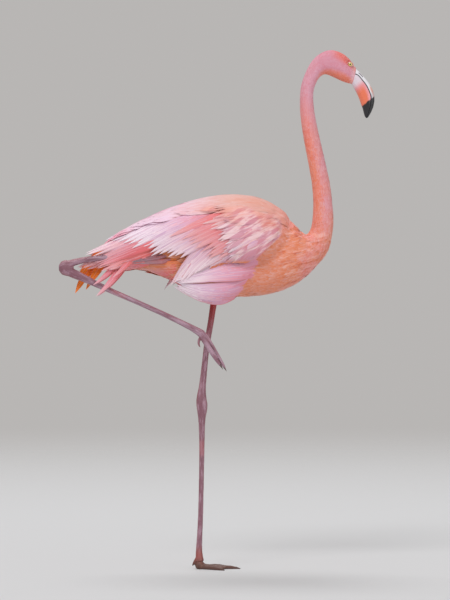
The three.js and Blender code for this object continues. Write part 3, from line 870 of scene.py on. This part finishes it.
def fanning(roots):
    """The wing's coverts fan out, down and back from its bend."""
    return 0.75 * roots.side * np.clip((800 - roots.z) / 90, 0, 1)


def close_to_skin(roots):
    return 0.7 * roots.depth


def under_wing(roots):
    return np.where(covered_by_wing(roots), 0.45, 0.8) * roots.depth


def over_back(roots):
    return np.interp(roots.station, [0.9, 3, 5, 6.4], [12, 17.5, 15.5, 8]) * MM


def over_wing(roots):
    """The wing's coverts lie over its long feathers, and lower where they run under the mantle."""
    width = np.abs(roots.y)
    under_mantle = np.interp(width, [42, 66], [0.34, 0]) * np.interp(roots.x, [95, 125], [1, 0])
    lift = np.interp(roots.x, [80, 100, 125, 152], [23, 22.5, 17, 7.5])
    return lift * (1 - under_mantle) * MM


# Kinds of small feathers: which roots they keep, how high they stand over the skin, which way they
# turn and how much that differs in radians, how much they sway and arch as shares of their length
# and width, how pointed they end, and the share of their lift that their roots have.
FINE = dict(
    keep=open_to_view, lift=close_to_skin, turn=straight, ruffle=0.1, sway=0.02, camber=0.03,
    pointed=0.5, root_lift=0, slot="body_plumage",
)
LOOSE = dict(
    FINE, lift=under_wing, turn=drooping, ruffle=0.3, sway=0.05, camber=0.05, pointed=0.9
)
MANTLE = dict(
    LOOSE, keep=along_back, lift=over_back, turn=straight, ruffle=0.1, root_lift=0.7,
    slot="wing_plumage",
)
COVERTS = dict(MANTLE, keep=on_wing_front, lift=over_wing, turn=fanning, root_lift=0.45)
# The regions of the coat: the kind of its feathers, the first and last station, the gaps between
# rows and along them, then the feathers' length and width at either station, in millimetres, and
# the sides and rows of each vane's mesh.
COAT = {
    "coat_head": (FINE, (19, 24), (1.7, 1.45), (9, 4.5), (4, 2.8), (4, 4)),
    "coat_neck_upper": (FINE, (15.5, 19.1), (2.8, 1.7), (15, 9), (4.6, 4), (4, 4)),
    "coat_neck_lower": (FINE, (10.3, 15.6), (3.6, 2.0), (24, 15), (5.4, 4.6), (4, 4)),
    "coat_breast": (LOOSE, (5.5, 10.4), (4.6, 2.9), (36, 24), (8, 5.8), (4, 5)),
    "coat_body": (LOOSE, (0.5, 5.6), (6.5, 4.4), (40, 36), (12, 9), (4, 5)),
    "coat_mantle": (MANTLE, (0.8, 6.5), (9, 4.6), (92, 50), (17, 11), (4, 9)),
    "coat_coverts": (COVERTS, (3.9, 7), (6, 3.2), (74, 40), (10, 7), (4, 7)),
}


def coat(body, material):
    for name, (kind, ends, gaps, lengths, widths, vane) in COAT.items():
        roots = rows_of_roots(body, ends, gaps, kind["keep"])
        sizes = [np.interp(roots.station, ends, size) * MM for size in (lengths, widths)]
        small_feathers(body, name, kind, roots, sizes, vane, material)


# A tract is a run of long feathers. Its first and last feather each have a root and a tip, x and z,
# on the side of the bird, and a tint: how pink, how orange and how grey. Those between follow from
# them. A bow is a share of the feather's length, up if positive.
WING_TRACTS = {
    "hidden primaries": dict(
        roots=[(-108, 688), (-98, 676)], tips=[(-204, 676), (-172, 672)], count=4,
        width=8, bow=0.02, lift=4.5, tints=[(0.6, 0.1, 0.75), (0.6, 0.3, 0.5)],
    ),
    "wing tip": dict(
        roots=[(-40, 782), (-90, 728)], tips=[(-290, 697), (-262, 664)], count=12,
        width=18, bow=0.03, lift=2.5, tints=[(0.3, 0.15, 0), (1.05, 0.15, 0)],
    ),
    "scapulars": dict(
        roots=[(10, 810), (48, 752)], tips=[(-244, 724), (-86, 682)], count=18,
        width=24, bow=0.07, lift=4, tints=[(0.05, 0.0, 0), (0.4, 0.15, 0)],
    ),
    "tertials": dict(
        roots=[(56, 768), (110, 714)], tips=[(-108, 617), (-14, 668)], count=8,
        width=30, bow=0.13, lift=6, tints=[(0.1, 0.15, 0), (0.3, 0.2, 0)],
    ),
    "great coverts": dict(
        roots=[(84, 786), (112, 736)], tips=[(-94, 736), (-4, 680)], count=13,
        width=20, bow=0.08, lift=8, tints=[(0.9, 0.25, 0), (0.85, 0.3, 0)], stagger=11, sunk=0.45,
    ),
    "middle coverts": dict(
        roots=[(110, 782), (130, 736)], tips=[(-26, 760), (38, 694)], count=13,
        width=18, bow=0.07, lift=10, tints=[(0.6, 0.45, 0), (0.15, 0.15, 0)], stagger=11, sunk=0.6,
    ),
    "lower flank": dict(
        roots=[(76, 634), (50, 598)], tips=[(-86, 632), (-80, 617)], count=9,
        width=24, bow=-0.21, lift=2.5, tints=[(0.1, 0.05, 0), (0.1, 0.1, 0)],
    ),
    "upper flank": dict(
        roots=[(122, 713), (96, 648)], tips=[(-84, 642), (-86, 628)], count=12,
        width=24, bow=0.03, lift=4, tints=[(0.05, 0.1, 0), (0.2, 0.1, 0)],
    ),
}
TAIL_TRACTS = {
    "vent": dict(
        roots=[(-60, 670), (-74, 646)], tips=[(-212, 664), (-132, 650)], count=9,
        width=16, bow=-0.02, lift=0.5, tints=[(0.3, 1.1, 0.05), (1.2, 0.2, 0)],
    ),
    "tail fan": dict(
        roots=[(-120, 730), (-128, 684)], tips=[(-306, 662), (-214, 656)], count=15,
        width=17, bow=0.02, lift=1, tints=[(0.8, 0.3, 0), (0.95, 0.25, 0)],
    ),
}
LIFT_STEP = 0.22  # each feather of a tract stands this much higher than the one before, in mm
SUNK = 0.34  # the share of a feather over which it rises from under those before it
SUNK_ROOT = 8  # how deep its root lies under the bird's surface, in mm
ARCH = 0.055  # how far a long vane arches, as a share of its width
FRAYED = 0.1  # how deep the splits at its edges are, as a share of its half width
SHAFT = 0.7 * MM  # how far the shaft stands out at its root
# Feathers that hang free: their roots and tips have their own distance from the midline.
HANGING = [
    dict(root=(-186, 34, 716), tip=(-265, 43, 600), width=19, bow=-0.14, tint=(0.9, 0.1, 0)),
    dict(root=(-196, 33, 708), tip=(-272, 38, 624), width=15, bow=-0.12, tint=(0.95, 0.1, 0)),
    dict(root=(-176, 44, 700), tip=(-229, 47, 641), width=14, bow=-0.1, tint=(0.9, 0.2, 0)),
]
TAIL_TIPS = [
    dict(root=(-250, 4, 706), tip=(-313, 3, 606), width=25, bow=0.05, tint=(0.5, 2.0, 0)),
    dict(root=(-238, -4, 694), tip=(-289, -3, 614), width=20, bow=0.04, tint=(0.5, 2.0, 0)),
    dict(root=(-246, 0, 700), tip=(-309, -1, 636), width=22, bow=0.1, tint=(0.6, 2.0, 0)),
]
ACROSS, LENGTHWISE, FACE, LONG_FACES = vane_template(16, 16)


def long_outline(root, tip, width, bow, seed):
    """Where the points of a long feather lie in the side view, with its split and frayed edges."""
    along = tip - root
    up = np.array([-along[1], along[0]])
    up = up if up[1] > 0 else -up
    middle = (root + tip) / 2 + up * bow
    t = LENGTHWISE[:, None]
    centre = (1 - t) ** 2 * root + 2 * t * (1 - t) * middle + t**2 * tip
    tangent = 2 * (1 - t) * (middle - root) + 2 * t * (tip - middle)
    across = unit(np.stack([-tangent[:, 1], tangent[:, 0]], 1))
    splits = np.clip(np.sin(LENGTHWISE * 31 + seed), 0.4, 1) ** 3 * (LENGTHWISE > 0.5)
    half = width / 2 * long_width(LENGTHWISE) * (1 - FRAYED * splits)
    return centre + across * (ACROSS * half)[:, None]


def side_surface(name):
    """One side of the bird, left or right, as seen from that side."""
    middle = ["trunk", "mantle", "tail", "neck_lower"]
    return search_tree([*middle, f"wing_{name}", f"wing_tip_{name}", f"thigh_{name}"])


def neighbours_of(faces, count):
    """For each point of the leaf, the average over the points joined to it, as a matrix."""
    table = np.eye(count)
    for a, b, c in faces:
        table[[a, b, b, c, c, a], [b, a, c, b, a, c]] = 1
    return table / table.sum(1, keepdims=True)


EASING = neighbours_of(LONG_FACES, len(LENGTHWISE))


def draped(tree, side, outline):
    """The depth of the bird's side under points of the side view. Off its edge, the nearest."""
    depth = np.full(len(outline), np.nan)
    for index, (x, z) in enumerate(outline * MM):
        start = Vector((x, side * 300 * MM, z))
        hit, _, _, _ = tree.ray_cast(start, Vector((0, -side, 0)), 300 * MM)
        if hit is not None:
            depth[index] = side * hit.y
    off = np.isnan(depth)
    gap = np.linalg.norm(outline[off][:, None] - outline[~off][None], axis=2)
    depth[off] = depth[~off][np.argmin(gap, axis=1)]
    depth = np.maximum(depth, 2 * MM)
    for _ in range(4):
        depth = EASING @ depth
    return depth


def outward_normals(points, side):
    """Eased normals of a leaf that point away from the bird, the same on both of its faces."""
    flat = points[LONG_FACES]
    face = np.cross(flat[:, 1] - flat[:, 0], flat[:, 2] - flat[:, 0])
    face = np.where((face[:, 1:2] * side) < 0, -face, face)
    total = np.zeros_like(points)
    for corner in range(3):
        np.add.at(total, LONG_FACES[:, corner], face)
    return unit(EASING @ (EASING @ unit(total)))


def long_leaf(tree, side, feather, seed):
    """The points of one long feather, draped on the bird or hanging free."""
    root, tip = np.array(feather["root"], float), np.array(feather["tip"], float)
    hanging = len(root) == 3
    width, shape = feather["width"], long_width(LENGTHWISE)
    if hanging:
        outline = long_outline(root[::2], tip[::2], width, feather["bow"], seed)
        depth = (root[1] + (tip[1] - root[1]) * LENGTHWISE) * MM
        rise = 0 * depth
    else:
        outline = long_outline(root, tip, width, feather["bow"], seed)
        depth = draped(tree, side, outline)
        risen = np.clip(LENGTHWISE / feather.get("sunk", SUNK), 0, 1)
        risen = risen * risen * (3 - 2 * risen)
        rise = ((feather["lift"] - 3) * risen - SUNK_ROOT * (1 - risen)) * MM
    points = np.stack([outline[:, 0] * MM, side * depth, outline[:, 1] * MM], 1)
    camber = ARCH * width * MM * shape * (1 - ACROSS**2)
    shaft = SHAFT * np.exp(-((ACROSS / 0.12) ** 2)) * (1 - LENGTHWISE)
    thick = FACE * (0.5 * MM * shape + LEAST_THICK)
    return points + outward_normals(points, side) * (rise + camber + shaft + thick)[:, None]


def feathers_of(tract):
    """The feathers of a tract one by one, each a little off its even place."""

    def between(key, share):
        first, last = np.array(tract[key], float)
        return first * (1 - share) + last * share

    for order in range(tract["count"]):
        share = order / (tract["count"] - 1)
        root, tip = between("roots", share), between("tips", share)
        ahead = unit(root - tip)
        root += ahead * rng.normal(0, 5) + rng.normal(0, 1.5, 2)
        tip += ahead * rng.normal(0, tract.get("stagger", 5)) + rng.normal(0, 1.5, 2)
        lift = tract["lift"] + LIFT_STEP * order
        yield {**tract, "root": root, "tip": tip, "lift": lift, "tint": between("tints", share)}


def long_feathers(side, tree, tracts, loose, name, slot, material):
    """A joined mesh of long feathers on one side of the bird: tracts of them, then loose ones."""
    leaves, tints, luck = [], [], []
    for feather in itertools.chain(*(feathers_of(tract) for tract in tracts.values()), loose):
        leaves.append(long_leaf(tree, side, feather, rng.random() * 6))
        tints.append(feather["tint"])
        luck.append(rng.random())
    number, size = len(leaves), len(LENGTHWISE)
    faces = LONG_FACES[None] + size * np.arange(number)[:, None, None]
    mesh = mesh_of(name, np.array(leaves), faces.reshape(-1, 3))
    turned = bmesh.new()
    turned.from_mesh(mesh)
    bmesh.ops.recalc_face_normals(turned, faces=turned.faces)
    turned.to_mesh(mesh)
    turned.free()
    keep_rim_sharp(mesh, np.tile(np.abs(FACE) < 1e-3, number))
    flat = np.zeros((number, size))
    vane = np.stack([ACROSS + flat, LENGTHWISE + flat, np.array(luck)[:, None] + flat], -1)
    give_attribute(mesh, "vane", vane)
    give_attribute(mesh, "tint", np.array(tints)[:, None] + np.zeros((number, size, 3)))
    # In the bake map each feather has two cells side by side, one for each face.
    cells = math.ceil(math.sqrt(number * 2))
    column, row = np.arange(number) * 2 % cells, np.arange(number) * 2 // cells
    bulge = 0.44 * (0.15 + np.sin(np.pi * LENGTHWISE))
    across = column[:, None] + 0.5 + (FACE > 0) + ACROSS * bulge
    up = row[:, None] + 0.05 + LENGTHWISE * 0.9
    places = np.stack([across, up], -1) / (cells + 1)
    give_bake_map(mesh, np.clip(places, 0, 1).reshape(-1, 2))
    finished(piece_of(name, mesh), slot, material)


# ---------------------------------------------------------------- legs and feet
# The middle of each leg from the thigh to the foot, and on to the tip of the raised middle toe.
STANDING_LINE = [
    (-3, 40, 616), (-15, 35, 539), (-28, 29, 447), (-34, 24, 366), (-34, 17, 262), (-37, 6.5, 108),
    (-38.5, 0, 12),
]
RAISED_LINE = [
    (-60, -56, 664), (-160, -45, 686), (-265, -30, 683), (-334, -24, 664), (-265, -24.4, 626),
    (-148, -26, 575), (-33, -27.4, 517), (18, -27, 441),
]
# The toes of the raised foot, closed against each other: the middle, the outer and the inner one.
CLOSED_TOES = [
    [(-33, -27, 517), (-20, -27, 500), (-2, -27, 472), (11, -27, 452), (18, -27, 441)],
    [(-33, -30, 513), (-24, -33, 496), (-9, -34.5, 472), (3, -34.5, 454), (10, -34.5, 445)],
    [(-33, -24, 514), (-21, -20, 496), (-5, -19, 472), (7, -19, 455), (14, -19, 446)],
]
RAISED_ANKLE = 503  # its height
CREASE_DEPTH = 2  # of the furrows between the closed toes
# The standing foot: its heel, and the length and the turn outwards of each front toe.
HEEL = (-37, 0)
STANDING_TOES = [(88, 0), (72, 38), (66, -36)]
# The bases and tips of the raised foot's claws.
RAISED_CLAWS = [
    ((14, -27, 447), (20.5, -27, 435.5)),
    ((6, -34.5, 450.5), (12.6, -34.5, 440)),
    ((10, -19, 451), (16.6, -19, 440.6)),
]
CLAW_RADIUS = 2.6


def between_toes(points):
    """1 in the creases where two closed toes touch, 0 away from them."""
    offs = np.sort([nearest_on(toe, points)[0] for toe in CLOSED_TOES], axis=0)
    crease = np.clip(1 - (offs[1] - offs[0]) / 2.2, 0, 1)
    below_ankle = np.clip((RAISED_ANKLE - points[:, 2]) / 12, 0, 1)
    return crease * below_ankle * (offs[0] < 12)


def leg_piece(name, nodes, line, material):
    """One scaled skin over a leg and its foot, with its soles on the floor."""
    piece = remeshed(name, nodes, 1.1 * MM, 14, 0.45 * MM)
    mesh = piece.data
    points, normals = points_of(mesh) / MM, normals_of(mesh)
    _, down, away, way = nearest_on(line, points)
    forward = np.cross([0, 1, 0], way)
    around = np.arctan2(away[:, 1], np.sum(away * forward, 1)) / np.pi
    crease = between_toes(points) if line is RAISED_LINE else 0 * down
    points = points - normals * (CREASE_DEPTH * crease**2)[:, None]
    points[:, 2] = np.maximum(points[:, 2], 0)
    mesh.vertices.foreach_set("co", (points * MM).ravel())
    give_attribute(mesh, "leg", np.stack([around, 1 - down / down.max(), crease], 1))
    finished(piece, "leg_skin", material)
    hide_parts(*nodes)


def claw(mesh, base, tip):
    """Adds a tapering claw from base to tip."""
    base, tip = Vector(base) * MM, Vector(tip) * MM
    axis = tip - base
    turn = axis.to_track_quat("Z", "Y").to_matrix().to_4x4()
    bmesh.ops.create_cone(
        mesh, cap_ends=True, cap_tris=True, segments=10, radius1=CLAW_RADIUS * MM,
        radius2=0.25 * MM, depth=axis.length, matrix=Matrix.Translation((base + tip) / 2) @ turn,
    )


def claws(material):
    mesh = bmesh.new()
    for length, angle in STANDING_TOES:
        turn = math.radians(angle)
        base, tip = (
            (HEEL[0] + reach * math.cos(turn), HEEL[1] + reach * math.sin(turn))
            for reach in (length * 0.88, length + 0.4)
        )
        claw(mesh, (*base, 3.1), (*tip, 1))
    for base, tip in RAISED_CLAWS:
        claw(mesh, base, tip)
    finished(piece_of("claws", mesh_from(mesh, "claws")), "foot_skin", material)


# ---------------------------------------------------------------- head
def bill_piece(name, node, material):
    piece = remeshed(name, [node], 0.7 * MM, 26, 0.4 * MM)
    side_view = points_of(piece.data)[:, [0, 2]] / MM
    off, along, away, way = nearest_on(curve_through(GAPE, 60), side_view)
    above = off * np.sign(away[:, 1] * way[:, 0] - away[:, 0] * way[:, 1])
    lower = np.full(len(above), float(node == "bill_lower"))
    give_attribute(piece.data, "bill", np.stack([above, along, lower], 1))
    finished(piece, "bill_horn", material)
    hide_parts(node)


def eye_piece(name, side, material):
    ball = bmesh.new()
    bmesh.ops.create_uvsphere(ball, u_segments=32, v_segments=20, radius=EYE_RADIUS * MM)
    turn = Matrix.Rotation(math.pi / 2, 3, "X")
    bmesh.ops.rotate(ball, verts=ball.verts, cent=(0, 0, 0), matrix=turn)
    bmesh.ops.translate(ball, verts=ball.verts, vec=Vector((EYE.x, side * EYE.y, EYE.z)) * MM)
    mesh = mesh_from(ball, name + "_ball")
    piece = finished(piece_of(name + "_ball", mesh), "eye", material)
    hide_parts(name)


def lid_piece(name, side, material):
    """A thin ring of bare lid that hugs the eye, drawn to a point before and behind it."""
    ring = bmesh.new()
    section = bmesh.ops.create_circle(ring, segments=12, radius=1)["verts"]
    for vertex in section:
        out, rise, _ = vertex.co
        vertex.co = Vector((5.6 + 1.3 * out, 0, 0.55 * rise - 0.35 * (1 + out))) * MM
    bmesh.ops.spin(
        ring, geom=ring.verts[:] + ring.edges[:], cent=(0, 0, 0), axis=(0, 0, 1),
        angle=2 * math.pi, steps=48, use_merge=True,
    )
    bmesh.ops.remove_doubles(ring, verts=ring.verts, dist=MERGED)
    for vertex in ring.verts:
        x, up, out = vertex.co
        corner = (abs(x) / math.hypot(x, up)) ** 6
        sunk = 0.9 * MM * corner
        vertex.co = Vector((x * (1 + 0.14 * corner), side * (3.4 * MM + out - sunk), up * 0.86))
        vertex.co += Vector((EYE.x, side * EYE.y, EYE.z)) * MM
    bmesh.ops.recalc_face_normals(ring, faces=ring.faces)
    finished(piece_of(name, mesh_from(ring, name)), "body_plumage", material)


# ---------------------------------------------------------------- the studio
# Broad soft lamps: where each shines from, how strongly, and how wide it looks in degrees.
LAMPS = {
    "key": ((-1.2, -2.4, 2.35), 1.25, 26),
    "fill": ((2.4, -2.6, 0.45), 0.58, 32),
    "rim": ((-0.4, 1.0, 2.55), 1.0, 25),
}
CAMERA = (17.05, -6000, 591.8)
LENS = 163.6


def floor():
    """A pale floor that fades out with its distance from the bird."""
    plane = bmesh.new()
    bmesh.ops.create_grid(plane, x_segments=1, y_segments=1, size=8)
    mesh = mesh_from(plane, "floor")
    paint = Look("floor_paint")
    x, y, _ = paint.place().parts()
    fading = (x * x + y * y).math("SQRT").step(7, 1.2)
    paint.surface(Base_Color=rgb(206, 207, 209), Roughness=1, Alpha=fading)
    mesh.materials.append(paint.material)
    piece_of("floor", mesh)


def studio():
    scene = bpy.context.scene
    floor()
    for name, (source, strength, width) in LAMPS.items():
        lamp = bpy.data.lights.new(name, "SUN")
        lamp.energy = strength
        lamp.angle = math.radians(width)
        lit = bpy.data.objects.new(name, lamp)
        lit.location = source
        lit.rotation_euler = Vector(source).to_track_quat("Z", "Y").to_euler()
        scene.collection.objects.link(lit)
    world = bpy.data.worlds.new("studio")
    world.use_nodes = True
    sky = world.node_tree.nodes["Background"].inputs
    sky["Color"].default_value = rgb(219, 216, 214)
    sky["Strength"].default_value = 0.68
    scene.world = world
    scene.view_settings.view_transform = "Standard"
    camera = bpy.data.objects.new("camera", bpy.data.cameras.new("camera"))
    camera.location = Vector(CAMERA) * MM
    camera.rotation_euler = (math.pi / 2, 0, 0)
    camera.data.sensor_width = 36
    camera.data.lens = LENS
    scene.collection.objects.link(camera)
    scene.camera = camera


# ---------------------------------------------------------------- the bird
SIDES = {"left": 1, "right": -1}
LEG_NODES = ("tibia", "hock", "shank", "foot", "hind_toe")

body = Body()
skin_piece(body, skin_look())
coat(body, coat_look())
vanes = long_feather_look()
for name, side in SIDES.items():
    tree = side_surface(name)
    tips = TAIL_TIPS if side > 0 else []
    wing, tail = f"wing_feathers_{name}", f"tail_feathers_{name}"
    long_feathers(side, tree, WING_TRACTS, HANGING, wing, "wing_plumage", vanes)
    long_feathers(side, tree, TAIL_TRACTS, tips, tail, "tail_plumage", vanes)
scales = leg_look()
for name, line in (("left", STANDING_LINE), ("right", RAISED_LINE)):
    leg_piece(f"leg_skin_{name}", [f"{node}_{name}" for node in LEG_NODES], line, scales)
claws(claw_look())
horn = bill_look()
bill_piece("bill_upper_horn", "bill_upper", horn)
bill_piece("bill_lower_horn", "bill_lower", horn)
wet, lid = eye_look(), lid_look()
for name, side in SIDES.items():
    eye_piece(f"eye_{name}", side, wet)
    lid_piece(f"lid_{name}", side, lid)
studio()
